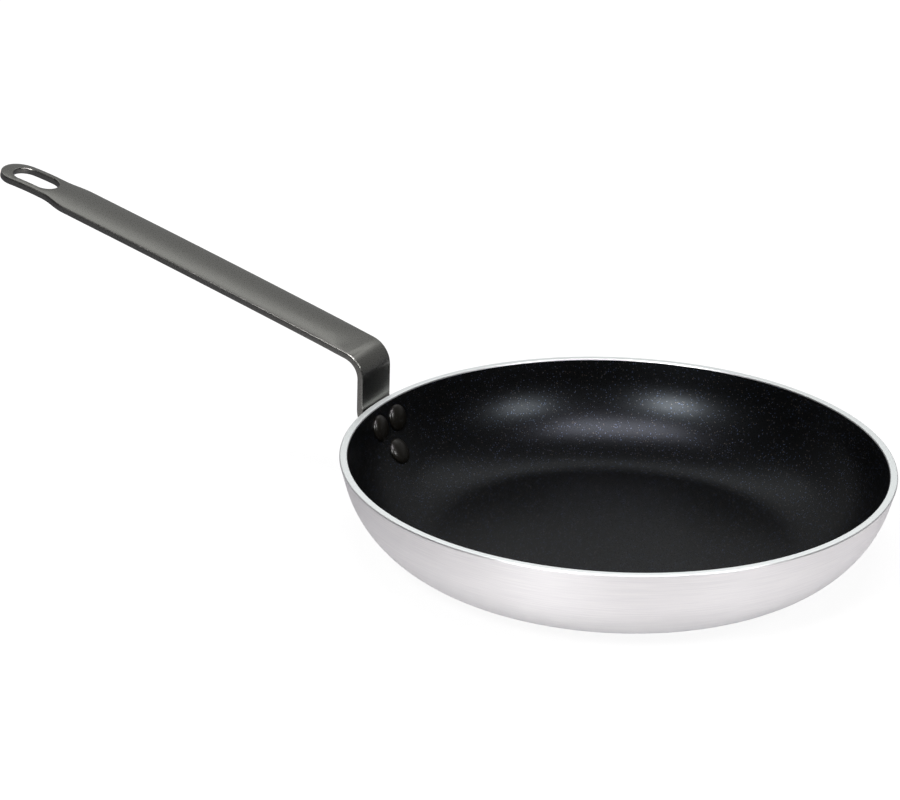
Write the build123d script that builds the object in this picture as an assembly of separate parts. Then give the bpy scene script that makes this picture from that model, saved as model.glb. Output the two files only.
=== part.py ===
from build123d import *
import math
import os

# Omelette pan: a spun aluminium pan with a non-stick inside and a riveted strip handle.
# Millimetres. Origin at the centre of the base, +Z up, the handle runs out along -X.

# pan body
rim_radius = 140.0          # outside radius at the rim
pan_height = 50.0
wall = 3.8                  # gauge of the sheet, the same in wall and base
flare = 15.5                # lean of the upper wall from the vertical, degrees
upper_wall = 10.6           # straight stretch under the rim, along the wall
heel_radius = 8.0           # outside radius where the belly meets the base
heel_lean = 79.9            # lean of the belly from the vertical where it meets the heel, degrees
rim_outer_round = 0.8
rim_inner_round = 0.4
coat = 0.25                 # thickness of the non-stick coat
coat_drop = 0.7             # bare metal left under the rim on the inside

# rivets
shank_radius = 3.2
head_radius = 7.05
head_rise = 2.5             # top of a head over the wall
head_lip = 0.3              # height of a head's upright edge
tail_radius = 5.4
tail_rise = 2.2             # top of a formed head over the foot
rivet_pitch_share = 0.613   # between the two upper rivets, of the strip's width
upper_depth = 10.4          # upper rivets below the rim, where they leave the inner wall
rivet_drop = 14.3           # lower rivet below the upper ones

# handle strip
strip_width = 28.4
strip_gauge = 3.7
strip_edge = 0.8            # rounding along the strip's edges
riser_gap = 0.35            # clearance between the rim and the riser
joggle_extra = 4.5          # lean of the foot over the flare where it leaves the wall, degrees
joggle_radius = 14.0        # face radius from the foot to the riser
riser_top = 16.0            # end of the riser above the rim
bend_radius = 14.0          # face radius of the bend
grip_rise = 15.0            # slope of the grip above the horizontal after the bend, degrees
bow_radius = 8750.0         # gentle bow of the grip, down towards the tip
grip_length = 228.0         # from the end of the bend to the tip
crown = 1.3                 # rise of the grip's middle over its edges
crown_run = 18.0            # length over which the crown grows out of the flat bend

# loop and slot at the end of the grip
loop_width = 23.0
loop_straight = 20.4        # straight sides between the waist and the round tip
waist_run = 16.0            # length over which the strip narrows to the loop
slot_length = 26.6
slot_side = 4.2             # metal on either side of the slot
slot_rim = 7.2              # metal between the slot and the tip
curl_run = 30.0             # length at the tip over which the loop curls down
curl_radius = 200.0

overrun = 5.0               # how far a cutting tool runs past what it cuts
seam_angle = 30.0           # faces that meet at less than this are one smooth face, degrees

flare_angle = math.radians(flare)
corner_radius = rim_radius + rim_outer_round * ((1 + math.sin(flare_angle)) / math.cos(flare_angle) - 1)


# Sections of the pan are worked out in (radius, height). An angle on the belly is measured from
# the outward direction down towards the base, so it is also the wall's lean from the vertical.

# The belly fills what height the straight wall and the heel leave.
heel_angle = math.radians(heel_lean)
belly_height = pan_height - upper_wall * math.cos(flare_angle) - heel_radius * (1 - math.sin(heel_angle))
belly_radius = belly_height / (math.sin(heel_angle) - math.sin(flare_angle))
belly_centre = Vector(
    corner_radius - upper_wall * math.sin(flare_angle) - belly_radius * math.cos(flare_angle),
    pan_height - upper_wall * math.cos(flare_angle) + belly_radius * math.sin(flare_angle),
)
heel_centre = belly_centre + Vector(math.cos(heel_angle), -math.sin(heel_angle)) * (belly_radius - heel_radius)


def outward(angle):
    return Vector(math.cos(angle), -math.sin(angle))


def wall_point(inset, depth):
    """Point on the wall moved inwards by inset, depth below the rim, and the wall's lean there."""
    height = pan_height - depth
    radius = belly_radius - inset
    lean = math.asin(min((belly_centre.Y - height) / radius, 1))
    if lean > flare_angle:
        return belly_centre + outward(lean) * radius, lean
    top = corner_radius - inset / math.cos(flare_angle) - depth * math.tan(flare_angle)
    return Vector(top, height), flare_angle


def filled(inset, depth):
    """Solid that fills the pan's outside moved inwards by inset, up to depth below the rim."""
    rim = wall_point(inset, depth)[0]
    turns = [flare_angle, (flare_angle + heel_angle) / 2, heel_angle]
    belly = [belly_centre + outward(turn) * (belly_radius - inset) for turn in turns]
    turns = [heel_angle, (heel_angle + math.pi / 2) / 2, math.pi / 2]
    heel = [heel_centre + outward(turn) * (heel_radius - inset) for turn in turns]
    low = heel[-1].Y
    edges = [
        Line(rim, belly[0]),
        ThreePointArc(*belly),
        ThreePointArc(*heel),
        Line(heel[-1], (0, low)),
        Line((0, low), (0, rim.Y)),
        Line((0, rim.Y), rim),
    ]
    return revolve(Plane.XZ * make_face(edges), Axis.Z)


pan_outside = filled(0, 0)
pan_inside = filled(wall, -overrun)
coat_inside = filled(wall + coat, -overrun)

pan_body = pan_outside - pan_inside
rim_edges = pan_body.edges().filter_by(GeomType.CIRCLE).group_by(Axis.Z)[-1].sort_by(SortBy.RADIUS)
pan_body = fillet(rim_edges[-1], rim_outer_round)
rim_edges = pan_body.edges().filter_by(GeomType.CIRCLE).group_by(Axis.Z)[-1].sort_by(SortBy.RADIUS)
pan_body = fillet(rim_edges[0], rim_inner_round)

nonstick_coating = filled(wall, coat_drop) - coat_inside


# Handle. The strip's lines are drawn in (radius, height) from the foot outwards. The face is the
# side towards the pan, which the bend turns up to be the top of the grip; the back is behind it.

side_plane = Plane(origin=(0, 0, 0), x_dir=(-1, 0, 0), z_dir=(0, 1, 0))
lower_point, lower_lean = wall_point(wall + coat, upper_depth + rivet_drop)
foot_lean = lower_lean + (strip_width / 2 + overrun) / belly_radius
joggle_lean = flare + joggle_extra
joggle_angle = math.radians(joggle_lean)
leave_point = belly_centre + outward(joggle_angle) * belly_radius
riser_radius = rim_radius + riser_gap
joggle_reach = riser_radius - joggle_radius * (1 - math.cos(joggle_angle)) - leave_point.X
joggle_length = joggle_reach / math.sin(joggle_angle)
joggle_end = leave_point.Y + joggle_length * math.cos(joggle_angle) + joggle_radius * math.sin(joggle_angle)
riser_length = pan_height + riser_top - joggle_end


def strip_legs(depth):
    """Foot, joggle, riser and bend as legs of one line, depth behind the strip's face."""
    start = belly_centre + outward(foot_lean) * (belly_radius + depth)
    heading = (math.sin(foot_lean), math.cos(foot_lean))
    foot = JernArc(start, heading, belly_radius + depth, math.degrees(foot_lean) - joggle_lean)
    joggle = Line(foot @ 1, foot @ 1 + (foot % 1) * joggle_length)
    set_back = JernArc(joggle @ 1, joggle % 1, joggle_radius + depth, joggle_lean)
    riser = Line(set_back @ 1, set_back @ 1 + (set_back % 1) * riser_length)
    bend = JernArc(riser @ 1, riser % 1, bend_radius - depth, grip_rise - 90)
    return [foot, joggle, set_back, riser, bend]


def between(face_legs, back_legs):
    ends = [Line(face_legs[0] @ 0, back_legs[0] @ 0), Line(face_legs[-1] @ 1, back_legs[-1] @ 1)]
    return side_plane * make_face(face_legs + back_legs + ends)


half_strip = strip_width / 2
wide = half_strip + overrun
face_legs = strip_legs(0)
flat_strip = extrude(between(face_legs, strip_legs(strip_gauge)), wide, both=True)

# The foot is round about the lower rivet.
foot_centre = belly_centre + outward(lower_lean) * belly_radius
foot_plane = Plane(
    origin=side_plane.from_local_coords(foot_centre),
    x_dir=(0, 1, 0),
    z_dir=side_plane.from_local_coords(-outward(lower_lean)),
)
foot_reach = (foot_centre - face_legs[-1] @ 1).length + overrun
foot_outline = Circle(half_strip) + Pos(0, foot_reach / 2) * Rectangle(strip_width, foot_reach)
flat_strip = flat_strip & extrude(foot_plane * foot_outline, foot_reach, both=True)

# The grip starts at the end of the bend. Its frame has X along the grip and Z out of its top.
bend_end = face_legs[-1] @ 1
heading = face_legs[-1] % 1
grip_plane = Plane(
    origin=side_plane.from_local_coords(bend_end),
    x_dir=side_plane.from_local_coords(heading),
    z_dir=side_plane.from_local_coords(Vector(-heading.Y, heading.X)),
)


curl_start = grip_length - curl_run


def lowered(length, radius):
    """Move along an arc that starts along X and turns down."""
    turn = math.degrees(max(length, 0) / radius)
    return Pos(0, 0, -radius) * Rot(0, turn, 0) * Pos(0, 0, radius)


def grip_section(reach, rise):
    """Section across the grip at reach from the bend, its middle raised over its edges by rise."""
    tip = rise - rise * (wide / half_strip) ** 2
    top = Bezier((-wide, tip), (0, 2 * rise - tip), (wide, tip))
    under = Pos(0, -strip_gauge) * top
    sides = [Line(top @ 0, under @ 0), Line(top @ 1, under @ 1)]
    section = Plane.YZ * make_face([top, under] + sides)
    bow = lowered(min(reach, curl_start) - crown_run, bow_radius)
    curl = lowered(reach - curl_start, curl_radius)
    return Pos(min(reach, crown_run), 0, 0) * bow * curl * section


def ease(share):
    return share * share * (3 - 2 * share)


steps = 6
sections = [grip_section(crown_run * step / steps, crown * ease(step / steps)) for step in range(steps)]
bow_length = curl_start - crown_run
curl_length = curl_run + overrun
sections += [grip_section(crown_run + bow_length * step / steps, crown) for step in range(steps)]
sections += [grip_section(curl_start + curl_length * step / steps, crown) for step in range(steps + 1)]
grip = loft(sections)

half_loop = loop_width / 2
tip_centre = grip_length - half_loop
loop_start = tip_centre - loop_straight
waist_start = loop_start - waist_run
side = Line((0, half_strip), (waist_start, half_strip))
waist = Spline((waist_start, half_strip), (loop_start, half_loop), tangents=[(1, 0), (1, 0)])
loop_side = Line((loop_start, half_loop), (tip_centre, half_loop))
tip = ThreePointArc((tip_centre, half_loop), (grip_length, 0), (tip_centre, -half_loop))
start = Line((0, half_strip), (0, -half_strip))
upper = [side, waist, loop_side]
grip_outline = make_face(upper + [tip, start] + [mirror(edge, Plane.XZ) for edge in upper])
slot_width = loop_width - 2 * slot_side
slot = Pos(grip_length - slot_rim - slot_length / 2, 0) * SlotOverall(slot_length, slot_width)
tip_drop = grip_length**2 / (2 * bow_radius) + curl_run**2 / (2 * curl_radius)
cut_depth = strip_gauge + tip_drop + overrun
grip = grip & extrude(grip_outline, cut_depth, both=True)
grip = grip - extrude(slot, cut_depth, both=True)
strip = flat_strip + grip_plane * grip


def corner_edges(solid):
    """Edges where two faces meet at an angle, without the seams between tangent faces."""
    faces = solid.faces()
    found = []
    for edge in solid.edges():
        first, second = [face for face in faces if edge in face.edges()]
        middle = edge @ 0.5
        if first.normal_at(middle).get_angle(second.normal_at(middle)) > seam_angle:
            found.append(edge)
    return found


strip = fillet(corner_edges(strip), strip_edge)

# The pad is the part of the foot that is shaped to the wall, within the strip's rounded edges.
pad_depth = strip_width**2 / (4 * rim_radius)
pad_legs = [strip_legs(depth)[:2] for depth in (-pad_depth, strip_gauge / 2)]
pad = extrude(between(*pad_legs), wide, both=True)
half_pad = half_strip - strip_edge
pad_outline = Circle(half_pad) + Pos(0, foot_reach / 2) * Rectangle(2 * half_pad, foot_reach)
pad = pad & extrude(foot_plane * pad_outline, foot_reach, both=True)
handle = strip + pad - pan_outside


# Rivets. Each is drawn about its own axis, Z towards the inside, from the inner wall at zero.

def rivet_profile(radius, low, edge, top):
    """Round head: a dome of the given radius from edge to top, with a skirt down to low."""
    rise = top - edge
    slope = 2 * math.atan(rise / radius)
    dome = math.hypot(radius, rise) / 2 / math.sin(slope / 2)
    middle = (dome * math.sin(slope / 2), top - dome * (1 - math.cos(slope / 2)))
    outline = [
        Line((0, low), (radius, low)),
        Line((radius, low), (radius, edge)),
        ThreePointArc((radius, edge), middle, (0, top)),
        Line((0, top), (0, low)),
    ]
    return revolve(Plane.XZ * make_face(outline), Axis.Z)


head_seat = head_radius**2 / (2 * (belly_radius - wall - coat))
tail_seat = coat + wall + strip_gauge
head_blank = rivet_profile(head_radius, -wall, head_seat + head_lip, head_rise)
tail_blank = Rot(180, 0, 0) * rivet_profile(tail_radius, tail_seat - strip_gauge / 2, tail_seat, tail_seat + tail_rise)
shank_length = tail_seat + tail_rise / 2 + head_rise / 2
shank_blank = Pos(0, 0, head_rise / 2 - shank_length / 2) * Cylinder(shank_radius, shank_length)

upper_point, upper_lean = wall_point(wall + coat, upper_depth)
rivet_pitch = rivet_pitch_share * strip_width
upper_turn = math.degrees(math.asin(rivet_pitch / 2 / upper_point.X))
places = {
    "rivet_upper_left": (upper_point, upper_lean, upper_turn),
    "rivet_upper_right": (upper_point, upper_lean, -upper_turn),
    "rivet_lower": (lower_point, lower_lean, 0),
}
foot_blank = handle
rivets = {}
for name, (point, lean, turn) in places.items():
    axis_plane = Plane(
        origin=side_plane.from_local_coords(point),
        x_dir=(0, 1, 0),
        z_dir=side_plane.from_local_coords(-outward(lean)),
    )
    place = Rot(0, 0, turn) * axis_plane.location
    shank = place * shank_blank
    head = place * head_blank & coat_inside
    tail = place * tail_blank - foot_blank
    handle -= shank
    pan_body -= shank
    nonstick_coating -= shank
    rivets[name] = head + shank + tail

nodes = {"pan_body": pan_body, "nonstick_coating": nonstick_coating, "handle": handle, **rivets}
os.makedirs("parts", exist_ok=True)
for name, node in nodes.items():
    print(name, len(node.solids()), "solid", round(node.volume), "mm3", len(node.faces()), "faces")
    export_step(node, f"parts/{name}.step")
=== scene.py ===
import math

import bmesh
import bpy
from mathutils import Matrix, Vector


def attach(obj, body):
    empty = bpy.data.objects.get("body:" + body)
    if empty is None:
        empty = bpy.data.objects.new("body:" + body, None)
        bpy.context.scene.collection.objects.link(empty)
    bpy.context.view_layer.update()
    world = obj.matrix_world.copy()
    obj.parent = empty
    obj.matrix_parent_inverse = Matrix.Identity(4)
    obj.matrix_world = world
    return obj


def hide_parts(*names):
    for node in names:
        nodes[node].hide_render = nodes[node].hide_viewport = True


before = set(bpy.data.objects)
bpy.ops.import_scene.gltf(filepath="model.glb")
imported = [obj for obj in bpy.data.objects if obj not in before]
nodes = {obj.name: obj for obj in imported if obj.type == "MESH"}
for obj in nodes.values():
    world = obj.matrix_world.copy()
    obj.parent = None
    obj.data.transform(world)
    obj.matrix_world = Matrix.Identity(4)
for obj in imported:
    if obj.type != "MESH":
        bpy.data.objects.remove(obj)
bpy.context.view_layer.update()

scene = bpy.context.scene
scene.view_settings.view_transform = "Standard"
mm = 0.001
weldGap = 0.001 * mm            # points closer than this are one
noiseSpan = (0.3, 0.7)          # where nearly all of a noise's values lie


def linear(hexColour):  # sRGB hex to the linear colour that shaders take
    parts = [int(hexColour[i:i + 2], 16) / 255 for i in (1, 3, 5)]
    return [p / 12.92 if p <= 0.04045 else ((p + 0.055) / 1.055) ** 2.4 for p in parts] + [1.0]


def addNode(tree, kind, inputs=None, **settings):  # an input is a value, a socket or a node
    made = tree.nodes.new(kind)
    for name, value in settings.items():
        setattr(made, name, value)
    for name, value in (inputs or {}).items():
        if isinstance(value, bpy.types.Node):
            value = value.outputs[0]
        if isinstance(value, bpy.types.NodeSocket):
            tree.links.new(value, made.inputs[name])
        else:
            made.inputs[name].default_value = value
    return made


def newMaterial(name):
    material = bpy.data.materials.new(name)
    material.use_nodes = True
    material.node_tree.nodes.clear()
    return material, material.node_tree


# Camera: a long lens from above, to the right of the handle
camera = {
    "place": (0.80711, -1.66522, 0.83421),
    "right": (0.8733, 0.48647, 0.02649),
    "up": (-0.20546, 0.31844, 0.92541),
    "lens": 160.0, "sensor": 36.0, "clipEnd": 50.0,
}
cameraData = bpy.data.cameras.new("camera")
cameraData.lens = camera["lens"]
cameraData.sensor_width = camera["sensor"]
cameraData.clip_end = camera["clipEnd"]
cameraObject = bpy.data.objects.new("camera", cameraData)
scene.collection.objects.link(cameraObject)
right, up = Vector(camera["right"]).normalized(), Vector(camera["up"]).normalized()
turn = Matrix((right, up, right.cross(up))).transposed()
cameraObject.matrix_world = Matrix.Translation(camera["place"]) @ turn.to_4x4()
scene.camera = cameraObject
print("camera done")


# Light: a dim panel high at the back, a strong box above the pan, two small boxes in front, and a
# painted reflection: the floor glows in a patch in front, as a white card on the table would. A glow
# is the brightness of a light's own face.
studio = {
    "frontAngle": 28.5,                     # from -Y towards +X, where the camera stands
    "panelGlow": 1.0, "panelSize": (2.4, 0.63), "panelBack": 1.07, "panelHeight": 1.3,
    "topGlow": 14.0, "topSize": (0.8, 0.4), "topFront": 0.33, "topHeight": 1.25,
    "leftGlow": 45.0, "leftAside": -30.0, "rightGlow": 22.0, "rightAside": 50.0,
    "boxSize": 0.34, "boxReach": 1.5, "boxRise": 40.0,
    "white": "#FFFFFF", "topTint": "#FFF8FF",
    "ambient": 0.1,                         # light from all round, for diffuse surfaces
    "backWall": 0.4,                        # what metal sees behind the pan
    "frontWall": 0.03,                      # what metal sees behind the camera
    "wallBlend": (0.0, 0.7),                # how softly one wall turns into the other
    "floorGlow": (0.91, 1.0),               # the white that the camera sees, near and far
    "floorShade": "#595959",                # the part of it that takes the pan's shadow
    "whiteRadius": (0.25, 0.7),             # the floor turns plain white over this distance
    # Painted reflection, seen only by mirrored rays: the floor glows on a patch in front of the pan
    # (the card) and dimmer round it (the table), tinted lavender
    "cardGlow": 0.32, "cardShade": "#ADACA8",       # what metal sees of the card: the same two
    "tableGlow": 0.17, "tableShade": "#484848",     # and of the table round it
    "cardAside": 35.0, "cardFront": 0.13, "cardRadius": (0.18, 0.46), "cardTint": "#F0EEFA",
    "floorCard": "#E4E4E4", "floorRadius": 8.0, "floorSides": 64, "floorDrop": 0.02,
}


def fromFront(aside, rise, reach):  # aside in degrees to the camera's right
    angle, lift = math.radians(studio["frontAngle"] + aside), math.radians(rise)
    flat = reach * math.cos(lift)
    return Vector((math.sin(angle) * flat, -math.cos(angle) * flat, reach * math.sin(lift)))


def softBox(name, place, size, glow, tint, aim):
    data = bpy.data.lights.new(name, "AREA")
    data.shape = "RECTANGLE"
    data.size, data.size_y = size
    data.energy = glow * math.pi * size[0] * size[1]
    data.color = linear(tint)[:3]
    box = bpy.data.objects.new(name, data)
    box.location = place
    box.rotation_euler = aim
    box.visible_camera = False
    scene.collection.objects.link(box)


level = (0, 0, math.radians(studio["frontAngle"]))
panelPlace = fromFront(180, 0, studio["panelBack"]) + Vector((0, 0, studio["panelHeight"]))
softBox("back panel", panelPlace, studio["panelSize"], studio["panelGlow"], studio["white"], level)
topPlace = fromFront(0, 0, studio["topFront"]) + Vector((0, 0, studio["topHeight"]))
softBox("top box", topPlace, studio["topSize"], studio["topGlow"], studio["topTint"], level)
for side in ("left", "right"):
    place = fromFront(studio[side + "Aside"], studio["boxRise"], studio["boxReach"])
    aim = (-place).to_track_quat("-Z", "Y").to_euler()
    size, glow = (studio["boxSize"], studio["boxSize"]), studio[side + "Glow"]
    softBox(side + " box", place, size, glow, studio["white"], aim)


def rayKinds(tree):  # whether the camera sends this ray, and whether a mirror or glass does
    path = addNode(tree, "ShaderNodeLightPath").outputs
    mirrored = addNode(tree, "ShaderNodeMath", {
        0: path["Is Glossy Ray"], 1: path["Is Transmission Ray"],
    }, operation="MAXIMUM")
    return path["Is Camera Ray"], mirrored


world = bpy.data.worlds.new("studio")
scene.world = world
world.use_nodes = True
sky = world.node_tree
sky.nodes.clear()
direct, mirrored = rayKinds(sky)
direction = addNode(sky, "ShaderNodeTexCoord").outputs["Generated"]
towardsBack = addNode(sky, "ShaderNodeVectorMath", {
    0: direction, 1: fromFront(180, 0, 1),
}, operation="DOT_PRODUCT").outputs["Value"]
walls = addNode(sky, "ShaderNodeMapRange", {
    "Value": towardsBack, "From Min": studio["wallBlend"][0], "From Max": studio["wallBlend"][1],
    "To Min": studio["frontWall"], "To Max": studio["backWall"],
})
light = addNode(sky, "ShaderNodeMix", {0: mirrored, 2: studio["ambient"], 3: walls})
strength = addNode(sky, "ShaderNodeMath", {0: light, 1: direct}, operation="MAXIMUM")
background = addNode(sky, "ShaderNodeBackground", {
    "Color": linear(studio["white"]), "Strength": strength,
})
addNode(sky, "ShaderNodeOutputWorld", {"Surface": background})

# Floor: plain card for diffuse light. The camera sees it white with the pan's shadow. Metal sees a
# painted reflection on it: a glowing patch in front of the pan, standing in for a white card, and a
# dimmer glowing table round it.
floorMaterial, tree = newMaterial("white card floor")
direct, mirrored = rayKinds(tree)
seen = addNode(tree, "ShaderNodeMath", {0: mirrored, 1: direct}, operation="MAXIMUM")
away = addNode(tree, "ShaderNodeVectorMath", {
    0: addNode(tree, "ShaderNodeTexCoord").outputs["Object"],
    1: fromFront(studio["cardAside"], 0, studio["cardFront"]),
}, operation="DISTANCE").outputs["Value"]
off = addNode(tree, "ShaderNodeMapRange", {
    "Value": away, "From Min": studio["cardRadius"][0], "From Max": studio["cardRadius"][1],
})
# painted reflection: the glow that metal sees is brighter on the patch in front of the pan
cardGlow = addNode(tree, "ShaderNodeMix", {0: off, 2: studio["cardGlow"], 3: studio["tableGlow"]})
cardShade = addNode(tree, "ShaderNodeMix", {
    0: off, 6: linear(studio["cardShade"]), 7: linear(studio["tableShade"]),
}, data_type="RGBA")
fade = addNode(tree, "ShaderNodeMapRange", {
    "Value": away, "From Min": studio["whiteRadius"][0], "From Max": studio["whiteRadius"][1],
    "To Min": studio["floorGlow"][0], "To Max": studio["floorGlow"][1],
})
glow = addNode(tree, "ShaderNodeMix", {0: direct, 2: cardGlow, 3: fade})
shade = addNode(tree, "ShaderNodeMix", {
    0: direct, 6: cardShade.outputs[2], 7: linear(studio["floorShade"]),
}, data_type="RGBA")
# painted reflection colour: the glow that metal sees is tinted lavender
tint = addNode(tree, "ShaderNodeMix", {
    0: direct, 6: linear(studio["cardTint"]), 7: linear(studio["white"]),
}, data_type="RGBA")
plain = addNode(tree, "ShaderNodeBsdfDiffuse", {"Color": linear(studio["floorCard"])})
shaded = addNode(tree, "ShaderNodeBsdfDiffuse", {"Color": shade.outputs[2]})
glowing = addNode(tree, "ShaderNodeEmission", {"Color": tint.outputs[2], "Strength": glow})
white = addNode(tree, "ShaderNodeAddShader", {0: shaded, 1: glowing})
surface = addNode(tree, "ShaderNodeMixShader", {0: seen, 1: plain, 2: white})
addNode(tree, "ShaderNodeOutputMaterial", {"Surface": surface})
floorMesh = bpy.data.meshes.new("floor")
form = bmesh.new()
bmesh.ops.create_circle(
    form, cap_ends=True, segments=studio["floorSides"], radius=studio["floorRadius"])
form.to_mesh(floorMesh)
form.free()
floorMesh.materials.append(floorMaterial)
floor = bpy.data.objects.new("floor", floorMesh)
floor.location.z = -studio["floorDrop"] * mm
scene.collection.objects.link(floor)
print("studio done")


# Pan: the section of the spun sheet, in millimetres as (radius, height). A lean is an angle from
# the vertical, and also the angle below the outward direction in which that part of the wall faces.
pan = {
    "rimRadius": 140.0, "height": 50.0, "wall": 3.8, "flare": 15.5, "upperWall": 10.6,
    "heel": 8.0,                            # outside radius where the wall meets the base
    "blend": 40.0,                          # inside radius at the same place
    "heelLean": 79.9, "outerRound": 0.8, "innerRound": 0.4, "coat": 0.25, "coatDrop": 0.7,
    "baseRings": (0, 15, 45, 80), "wallShares": (0.25, 0.5, 0.75, 1), "rimShares": (0.3, 0.6),
    "arcStep": 2.0, "roundStep": 10.0, "segments": 384, "weld": 0.002, "sharpAngle": 50,
}
flare, heelLean = math.radians(pan["flare"]), math.radians(pan["heelLean"])
bellyHeight = (pan["height"] - pan["upperWall"] * math.cos(flare)
               - pan["heel"] * (1 - math.sin(heelLean)))
belly = bellyHeight / (math.sin(heelLean) - math.sin(flare))  # radius of the curved wall, outside
cornerRadius = pan["rimRadius"] + pan["outerRound"] * ((1 + math.sin(flare)) / math.cos(flare) - 1)


def facing(lean):
    return Vector((math.cos(lean), -math.sin(lean)))


bellyCentre = Vector((cornerRadius, pan["height"])) - facing(flare) * belly
bellyCentre -= Vector((math.sin(flare), math.cos(flare))) * pan["upperWall"]


def arc(centre, radius, start, end, step=pan["arcStep"]):
    count = max(2, math.ceil(abs(math.degrees(end - start)) / step))
    return [centre + facing(start + (end - start) * i / count) * radius for i in range(count + 1)]


def wallTop(inset, depth):  # on the straight upper wall, inset from its outside
    radius = cornerRadius - inset / math.cos(flare) - depth * math.tan(flare)
    return Vector((radius, pan["height"] - depth))


def wallLine(inset, depth, heel):  # along the base and up the wall, to depth below the rim
    lean = math.asin((bellyCentre.y - inset - heel) / (belly - inset - heel))
    points = [Vector((radius, inset)) for radius in pan["baseRings"]]
    points += arc(bellyCentre + facing(lean) * (belly - inset - heel), heel, math.pi / 2, lean)
    points += arc(bellyCentre, belly - inset, lean, flare)[1:]
    return points + [points[-1].lerp(wallTop(inset, depth), share) for share in pan["wallShares"]]


def roundedCorner(corner, radius, start, end):  # between two faces that look along start and end
    back = facing((start + end) / 2) * (radius / math.cos((end - start) / 2))
    return arc(corner - back, radius, start, end, pan["roundStep"])


def newTree(name, inputs):  # a geometry tree with named inputs, and the sockets that give them
    tree = bpy.data.node_groups.new(name, "GeometryNodeTree")
    for label, kind in inputs.items():
        tree.interface.new_socket(label, in_out="INPUT", socket_type="NodeSocket" + kind)
    tree.interface.new_socket("Geometry", in_out="OUTPUT", socket_type="NodeSocketGeometry")
    return tree, addNode(tree, "NodeGroupInput").outputs


def lathe():  # turns a line of edges round the Z axis
    tree, given = newTree("turned on a lathe", {
        "Profile": "Geometry", "Segments": "Int", "Sweep radius": "Float",
        "Weld distance": "Float", "Material": "Material",
    })
    shift = addNode(tree, "ShaderNodeMath", {0: 0.0, 1: given["Sweep radius"]}, operation="SUBTRACT")
    offset = addNode(tree, "ShaderNodeCombineXYZ", {"X": shift})
    line = addNode(tree, "GeometryNodeSetPosition", {"Geometry": given["Profile"], "Offset": offset})
    profile = addNode(tree, "GeometryNodeMeshToCurve", {"Mesh": line})
    circle = addNode(tree, "GeometryNodeCurvePrimitiveCircle", {
        "Resolution": given["Segments"], "Radius": given["Sweep radius"],
    })
    swept = addNode(tree, "GeometryNodeCurveToMesh", {"Curve": circle, "Profile Curve": profile})
    welded = addNode(tree, "GeometryNodeMergeByDistance", {
        "Geometry": swept, "Distance": given["Weld distance"],
    })
    real = addNode(tree, "GeometryNodeRealizeInstances", {"Geometry": welded})
    finished = addNode(tree, "GeometryNodeSetMaterial", {
        "Geometry": real, "Material": given["Material"],
    })
    addNode(tree, "NodeGroupOutput", {"Geometry": finished})
    return tree


def bake(name, mesh, tree, settings):  # runs a node tree on a mesh and keeps the plain result
    draft = bpy.data.objects.new(name + " draft", mesh)
    scene.collection.objects.link(draft)
    modifier = draft.modifiers.new("nodes", "NODES")
    modifier.node_group = tree
    for item in tree.interface.items_tree:
        if item.in_out == "INPUT" and item.name in settings:
            modifier[item.identifier] = settings[item.name]
    bpy.context.view_layer.update()
    graph = bpy.context.evaluated_depsgraph_get()
    result = bpy.data.meshes.new_from_object(draft.evaluated_get(graph), depsgraph=graph)
    bpy.data.objects.remove(draft)
    return result


def tidyMesh(mesh, sharpAngle):  # welds, turns the faces outwards and marks the sharp edges
    form = bmesh.new()
    form.from_mesh(mesh)
    bmesh.ops.remove_doubles(form, verts=form.verts, dist=weldGap)
    bmesh.ops.recalc_face_normals(form, faces=form.faces)
    for face in form.faces:
        face.smooth = True
    form.to_mesh(mesh)
    form.free()
    mesh.set_sharp_from_angle(angle=math.radians(sharpAngle))


def addPiece(name, mesh, slot, *replaced):
    piece = bpy.data.objects.new(name, mesh)
    scene.collection.objects.link(piece)
    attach(piece, "root")
    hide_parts(*replaced)


turning = lathe()


def turned(name, points, material, slot, replaced):  # heights go in as -Y, which the sweep turns up
    profile = bpy.data.meshes.new(name + " profile")
    edges = [(i, i + 1) for i in range(len(points) - 1)]
    profile.from_pydata([(p.x * mm, -p.y * mm, 0) for p in points], edges, [])
    mesh = bake(name, profile, turning, {
        "Segments": pan["segments"], "Sweep radius": pan["rimRadius"] * mm,
        "Weld distance": pan["weld"] * mm, "Material": material,
    })
    tidyMesh(mesh, pan["sharpAngle"])
    addPiece(name, mesh, slot, replaced)


# Turned aluminium: the tool leaves fine lines round the wall, which draw each reflection out up and
# down it. The real lines are about 0.1 mm apart, too fine to show, so they are drawn wider. The rim
# is faced flat and looks matt, and the lines end below its rounded edge.
aluminium = {
    "base": "#F0F0F0", "dull": "#E9E9EA", "dullSpan": (0.35, 0.65),
    "roughness": (0.41, 0.49), "anisotropy": 0.75, "grainTurn": 0.25,
    "lineSpacing": 0.3, "lineLength": 12.0, "bandSpacing": 0.8, "bandLength": 28.0,
    "lineDetail": 2.0, "lineBreak": 0.6, "bumpHeight": 0.002, "bumpStrength": 1.0,
    "rim": "#E8EDEB", "rimRoughness": 0.62,
    "rimStart": (49.8, 49.95), "edgeStart": (48.6, 49.1),       # heights
}


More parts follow.
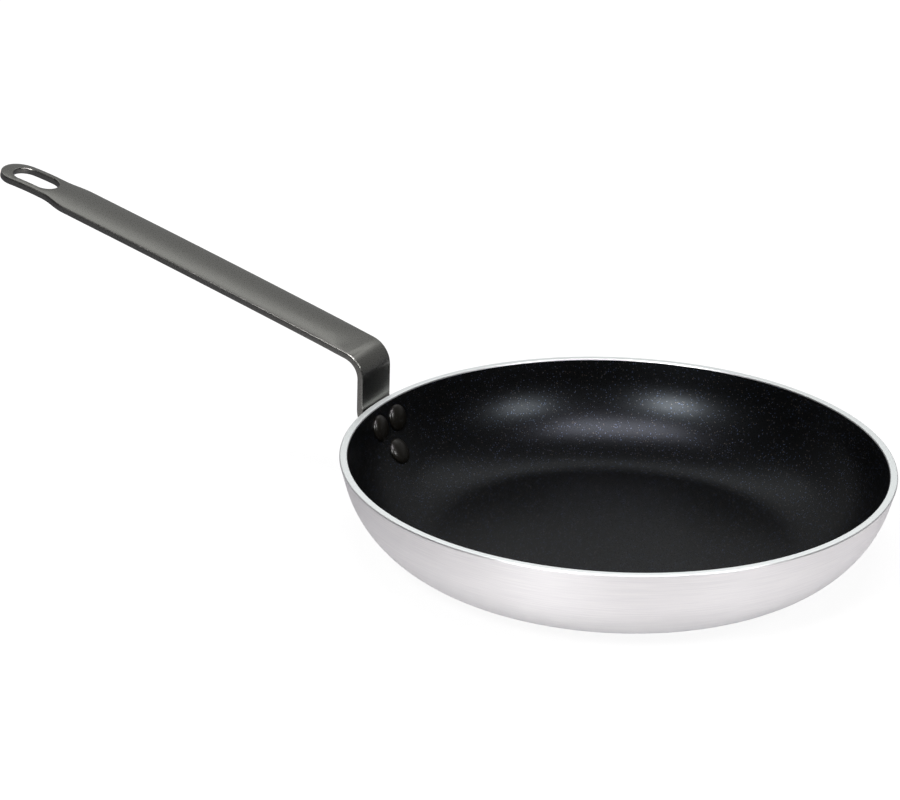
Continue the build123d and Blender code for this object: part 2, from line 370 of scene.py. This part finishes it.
def turnedLines(tree, spacing, length):  # noise drawn out round the pan
    spot = addNode(tree, "ShaderNodeTexCoord").outputs["Object"]
    place = addNode(tree, "ShaderNodeSeparateXYZ", {0: spot}).outputs
    flat = addNode(tree, "ShaderNodeCombineXYZ", {"X": place["X"], "Y": place["Y"]})
    radius = addNode(tree, "ShaderNodeVectorMath", {0: flat}, operation="LENGTH").outputs["Value"]
    outward = addNode(tree, "ShaderNodeVectorMath", {0: flat}, operation="NORMALIZE")
    around = addNode(tree, "ShaderNodeVectorMath", {
        0: outward, "Scale": pan["rimRadius"] / length,
    }, operation="SCALE")
    across = addNode(tree, "ShaderNodeMath", {0: radius, 1: place["Z"]}, operation="ADD")
    count = addNode(tree, "ShaderNodeMath", {0: across, 1: 1 / (spacing * mm)}, operation="MULTIPLY")
    lift = addNode(tree, "ShaderNodeCombineXYZ", {"Z": count})
    drawn = addNode(tree, "ShaderNodeVectorMath", {0: around, 1: lift})
    return addNode(tree, "ShaderNodeTexNoise", {
        "Vector": drawn, "Scale": 1.0,
        "Detail": aluminium["lineDetail"], "Roughness": aluminium["lineBreak"],
    })


aluminiumMaterial, tree = newMaterial("turned aluminium")
lines = turnedLines(tree, aluminium["lineSpacing"], aluminium["lineLength"])
bands = turnedLines(tree, aluminium["bandSpacing"], aluminium["bandLength"])
bright = addNode(tree, "ShaderNodeMapRange", {
    "Value": bands, "From Min": aluminium["dullSpan"][0], "From Max": aluminium["dullSpan"][1],
})
colour = addNode(tree, "ShaderNodeMix", {
    0: bright, 6: linear(aluminium["dull"]), 7: linear(aluminium["base"]),
}, data_type="RGBA").outputs[2]
roughness = addNode(tree, "ShaderNodeMapRange", {
    "Value": lines, "From Min": noiseSpan[0], "From Max": noiseSpan[1],
    "To Min": aluminium["roughness"][0], "To Max": aluminium["roughness"][1],
})
spot = addNode(tree, "ShaderNodeTexCoord").outputs["Object"]
height = addNode(tree, "ShaderNodeSeparateXYZ", {0: spot}).outputs["Z"]
depth = addNode(tree, "ShaderNodeMapRange", {
    "Value": height,
    "From Min": aluminium["edgeStart"][0] * mm, "From Max": aluminium["edgeStart"][1] * mm,
    "To Min": aluminium["bumpHeight"] * mm, "To Max": 0.0,
})
bump = addNode(tree, "ShaderNodeBump", {
    "Strength": aluminium["bumpStrength"], "Distance": depth, "Height": lines,
})
wallShader = addNode(tree, "ShaderNodeBsdfPrincipled", {
    "Base Color": colour, "Metallic": 1.0, "Roughness": roughness, "Normal": bump,
    "Anisotropic": aluminium["anisotropy"], "Anisotropic Rotation": aluminium["grainTurn"],
    "Tangent": addNode(tree, "ShaderNodeTangent", direction_type="RADIAL", axis="Z"),
})
rimShader = addNode(tree, "ShaderNodeBsdfPrincipled", {
    "Base Color": linear(aluminium["rim"]), "Metallic": 1.0,
    "Roughness": aluminium["rimRoughness"],
})
faced = addNode(tree, "ShaderNodeMapRange", {
    "Value": height,
    "From Min": aluminium["rimStart"][0] * mm, "From Max": aluminium["rimStart"][1] * mm,
})
shader = addNode(tree, "ShaderNodeMixShader", {0: faced, 1: wallShader, 2: rimShader})
addNode(tree, "ShaderNodeOutputMaterial", {"Surface": shader})

outside, inside = wallLine(0, 0, pan["heel"]), wallLine(pan["wall"], 0, pan["blend"])
outerCorner, innerCorner = outside.pop(), inside.pop()
rim = roundedCorner(outerCorner, pan["outerRound"], flare, -math.pi / 2)
rim += [rim[-1].lerp(innerCorner, share) for share in pan["rimShares"]]
rim += roundedCorner(innerCorner, pan["innerRound"], -math.pi / 2, flare - math.pi)
turned("panBody", outside + rim + inside[::-1], aluminiumMaterial, "aluminium", "pan_body")
print("pan body done")


def grained(tree, film):  # fine noise over a piece, and a roughness that follows it
    spot = addNode(tree, "ShaderNodeTexCoord").outputs["Object"]
    grain = addNode(tree, "ShaderNodeTexNoise", {
        "Vector": spot, "Scale": 1 / (film["grainSize"] * mm),
        "Detail": film["grainDetail"], "Roughness": film["grainBreak"],
    })
    roughness = addNode(tree, "ShaderNodeMapRange", {
        "Value": grain, "From Min": noiseSpan[0], "From Max": noiseSpan[1],
        "To Min": film["roughness"][0], "To Max": film["roughness"][1],
    })
    return grain, roughness


# Non-stick coat: a sprayed fluoropolymer, near black, with mica flecks that glint blue and bronze
# where a light is mirrored. The real flecks are about 0.05 mm, too fine to show, so they and the
# grain are drawn coarser.
coat = {
    "base": "#030303", "sheen": "#E8F4FF", "roughness": (0.26, 0.34), "ior": 1.28,
    "grainSize": 0.35, "grainDetail": 2.0, "grainBreak": 0.5,
    "bumpHeight": 0.02, "bumpStrength": 0.6,
    "fleckSize": 0.36, "fleckShare": 0.028, "fleckMetal": 0.5,
    "cool": "#3C4559", "warm": "#47423D", "warmSpan": (0.45, 0.75),
}
coatMaterial, tree = newMaterial("sprayed non-stick coat")
grain, roughness = grained(tree, coat)
spot = addNode(tree, "ShaderNodeTexCoord").outputs["Object"]
cells = addNode(tree, "ShaderNodeTexVoronoi", {
    "Vector": spot, "Scale": 1 / (coat["fleckSize"] * mm),
}).outputs["Color"]
pick = addNode(tree, "ShaderNodeSeparateColor", {0: cells}).outputs
fleck = addNode(tree, "ShaderNodeMath", {
    0: pick[0], 1: coat["fleckShare"],
}, operation="LESS_THAN")
hue = addNode(tree, "ShaderNodeMapRange", {
    "Value": pick[1], "From Min": coat["warmSpan"][0], "From Max": coat["warmSpan"][1],
})
glint = addNode(tree, "ShaderNodeMix", {
    0: hue, 6: linear(coat["cool"]), 7: linear(coat["warm"]),
}, data_type="RGBA")
colour = addNode(tree, "ShaderNodeMix", {
    0: fleck, 6: linear(coat["base"]), 7: glint.outputs[2],
}, data_type="RGBA")
metal = addNode(tree, "ShaderNodeMath", {0: fleck, 1: coat["fleckMetal"]}, operation="MULTIPLY")
bump = addNode(tree, "ShaderNodeBump", {
    "Strength": coat["bumpStrength"], "Distance": coat["bumpHeight"] * mm, "Height": grain,
})
shader = addNode(tree, "ShaderNodeBsdfPrincipled", {
    "Base Color": colour.outputs[2], "Metallic": metal, "Roughness": roughness,
    "IOR": coat["ior"], "Normal": bump, "Specular Tint": linear(coat["sheen"]),
})
addNode(tree, "ShaderNodeOutputMaterial", {"Surface": shader})
coatOuter = wallLine(pan["wall"], pan["coatDrop"], pan["blend"])
coatInner = wallLine(pan["wall"] + pan["coat"], pan["coatDrop"], pan["blend"] - pan["coat"])
turned("nonstickCoating", coatOuter + coatInner[::-1], coatMaterial, "nonstick", "nonstick_coating")
print("coating done")


# Handle: the strip's solid, welded and smoothed. Powder coat is a baked polyester film. This one is
# dark grey and holds metal powder, so it mirrors like dull metal, and a fine grain softens that.
handle = {
    "base": "#797975", "light": "#858581", "lightSpan": (0.35, 0.7), "roughness": (0.25, 0.33),
    "grainSize": 0.45, "grainDetail": 3.0, "grainBreak": 0.6,
    "bumpHeight": 0.012, "bumpStrength": 0.7, "sharpAngle": 35,
}
handleMaterial, tree = newMaterial("dark grey powder coat")
grain, roughness = grained(tree, handle)
speckle = addNode(tree, "ShaderNodeMapRange", {
    "Value": grain, "From Min": handle["lightSpan"][0], "From Max": handle["lightSpan"][1],
})
colour = addNode(tree, "ShaderNodeMix", {
    0: speckle, 6: linear(handle["base"]), 7: linear(handle["light"]),
}, data_type="RGBA")
bump = addNode(tree, "ShaderNodeBump", {
    "Strength": handle["bumpStrength"], "Distance": handle["bumpHeight"] * mm, "Height": grain,
})
shader = addNode(tree, "ShaderNodeBsdfPrincipled", {
    "Base Color": colour.outputs[2], "Metallic": 1.0, "Roughness": roughness, "Normal": bump,
})
addNode(tree, "ShaderNodeOutputMaterial", {"Surface": shader})
handleMesh = nodes["handle"].data.copy()
handleMesh.materials.clear()
handleMesh.materials.append(handleMaterial)
tidyMesh(handleMesh, handle["sharpAngle"])
addPiece("stripHandle", handleMesh, "handle_paint", "handle")
print("handle done")


# Rivets: round heads inside the wall, shanks through wall and foot, and formed heads outside. Each
# is drawn with Z along its own axis towards the inside, from the inner wall at zero.
rivet = {
    "head": 7.05, "headRise": 3.0, "headEdge": 0.4, "shank": 3.2,
    "tail": 5.4, "tailRise": 2.2, "tailEdge": 0.3,
    "grip": 7.75,                           # from the inner wall to the outside of the foot
    "sink": 0.15,                           # how far a head's rim goes into what it sits on
    "pitch": 17.41, "depth": 10.4, "drop": 14.3,
    "segments": 64, "rings": 32, "sharpAngle": 50,
}


def dome(tree, radius, rise, edge, sink, segments, rings):  # half an ellipsoid on an upright rim
    ball = addNode(tree, "GeometryNodeMeshUVSphere", {
        "Segments": segments, "Rings": rings, "Radius": 1.0,
    })
    height = addNode(tree, "ShaderNodeMath", {0: rise, 1: edge}, operation="SUBTRACT")
    below = addNode(tree, "ShaderNodeMath", {0: edge, 1: sink}, operation="ADD")
    share = addNode(tree, "ShaderNodeMath", {0: below, 1: height}, operation="DIVIDE")
    low = addNode(tree, "ShaderNodeMath", {0: 0.0, 1: share}, operation="SUBTRACT")
    floorLine = addNode(tree, "ShaderNodeCombineXYZ", {"X": -1.0, "Y": -1.0, "Z": low})
    place = addNode(tree, "GeometryNodeInputPosition")
    cut = addNode(tree, "ShaderNodeVectorMath", {0: place, 1: floorLine}, operation="MAXIMUM")
    flat = addNode(tree, "GeometryNodeSetPosition", {"Geometry": ball, "Position": cut})
    return addNode(tree, "GeometryNodeTransform", {
        "Geometry": flat,
        "Scale": addNode(tree, "ShaderNodeCombineXYZ", {"X": radius, "Y": radius, "Z": height}),
        "Translation": addNode(tree, "ShaderNodeCombineXYZ", {"Z": edge}),
    })


def riveting():  # one rivet, set at every point along the direction that the point carries
    tree, given = newTree("rivets", {
        "Places": "Geometry", "Head radius": "Float", "Head rise": "Float", "Head edge": "Float",
        "Shank radius": "Float", "Tail radius": "Float", "Tail rise": "Float", "Tail edge": "Float",
        "Grip": "Float", "Sink": "Float", "Segments": "Int", "Rings": "Int", "Material": "Material",
    })
    sides = (given["Sink"], given["Segments"], given["Rings"])
    head = dome(tree, given["Head radius"], given["Head rise"], given["Head edge"], *sides)
    tail = dome(tree, given["Tail radius"], given["Tail rise"], given["Tail edge"], *sides)
    away = addNode(tree, "ShaderNodeMath", {0: 0.0, 1: given["Grip"]}, operation="SUBTRACT")
    down = addNode(tree, "ShaderNodeCombineXYZ", {"Z": away})
    turnedTail = addNode(tree, "GeometryNodeTransform", {
        "Geometry": tail, "Rotation": (math.pi, 0, 0), "Translation": down,
    })
    bar = addNode(tree, "GeometryNodeMeshCylinder", {
        "Vertices": given["Segments"], "Radius": given["Shank radius"], "Depth": given["Grip"],
    })
    half = addNode(tree, "ShaderNodeMath", {0: away, 1: 0.5}, operation="MULTIPLY")
    shank = addNode(tree, "GeometryNodeTransform", {
        "Geometry": bar.outputs["Mesh"],
        "Translation": addNode(tree, "ShaderNodeCombineXYZ", {"Z": half}),
    })
    whole = addNode(tree, "GeometryNodeMeshBoolean", operation="UNION", solver="EXACT")
    for part in (head, shank, turnedTail):
        tree.links.new(part.outputs[0], whole.inputs["Mesh 2"])
    axis = addNode(tree, "GeometryNodeInputNamedAttribute", {
        "Name": "axis",
    }, data_type="FLOAT_VECTOR")
    aim = addNode(tree, "FunctionNodeAlignRotationToVector", {"Vector": axis}, axis="Z")
    points = addNode(tree, "GeometryNodeMeshToPoints", {"Mesh": given["Places"]})
    placed = addNode(tree, "GeometryNodeInstanceOnPoints", {
        "Points": points, "Instance": whole, "Rotation": aim,
    })
    real = addNode(tree, "GeometryNodeRealizeInstances", {"Geometry": placed})
    finished = addNode(tree, "GeometryNodeSetMaterial", {
        "Geometry": real, "Material": given["Material"],
    })
    addNode(tree, "NodeGroupOutput", {"Geometry": finished})
    return tree


def rivetPlace(depth, aside):  # a point on the coat below the rim, and the way its wall faces
    inset = pan["wall"] + pan["coat"]
    height = pan["height"] - depth
    lean = max(flare, math.asin((bellyCentre.y - height) / (belly - inset)))
    section = bellyCentre + facing(lean) * (belly - inset)
    angle = math.asin(aside / section.x)
    outward = Vector((-math.cos(angle), math.sin(angle), 0))
    point = outward * section.x + Vector((0, 0, section.y))
    return point * mm, Vector((0, 0, math.sin(lean))) - outward * math.cos(lean)


# Rivet finish: a dark coat baked over domed steel, smooth enough to show the lights as soft spots.
finish = {
    "base": "#070604", "light": "#100E0A", "roughness": (0.27, 0.35), "ior": 1.42,
    "grainSize": 0.4, "grainDetail": 2.0, "grainBreak": 0.5,
}
rivetMaterial, tree = newMaterial("black coated steel")
grain, roughness = grained(tree, finish)
colour = addNode(tree, "ShaderNodeMix", {
    0: grain, 6: linear(finish["base"]), 7: linear(finish["light"]),
}, data_type="RGBA")
shader = addNode(tree, "ShaderNodeBsdfPrincipled", {
    "Base Color": colour.outputs[2], "IOR": finish["ior"], "Roughness": roughness,
})
addNode(tree, "ShaderNodeOutputMaterial", {"Surface": shader})

places = [rivetPlace(rivet["depth"], side * rivet["pitch"] / 2) for side in (-1, 1)]
places.append(rivetPlace(rivet["depth"] + rivet["drop"], 0))
pattern = bpy.data.meshes.new("rivet places")
pattern.from_pydata([point for point, axis in places], [], [])
axes = pattern.attributes.new("axis", "FLOAT_VECTOR", "POINT")
for held, (point, axis) in zip(axes.data, places):
    held.vector = axis
rivetMesh = bake("rivets", pattern, riveting(), {
    "Head radius": rivet["head"] * mm, "Head rise": rivet["headRise"] * mm,
    "Head edge": rivet["headEdge"] * mm, "Shank radius": rivet["shank"] * mm,
    "Tail radius": rivet["tail"] * mm, "Tail rise": rivet["tailRise"] * mm,
    "Tail edge": rivet["tailEdge"] * mm, "Grip": rivet["grip"] * mm, "Sink": rivet["sink"] * mm,
    "Segments": rivet["segments"], "Rings": rivet["rings"], "Material": rivetMaterial,
})
tidyMesh(rivetMesh, rivet["sharpAngle"])
addPiece("rivets", rivetMesh, "rivet", "rivet_upper_left", "rivet_upper_right", "rivet_lower")
print("rivets done:", len(rivetMesh.polygons), "faces")
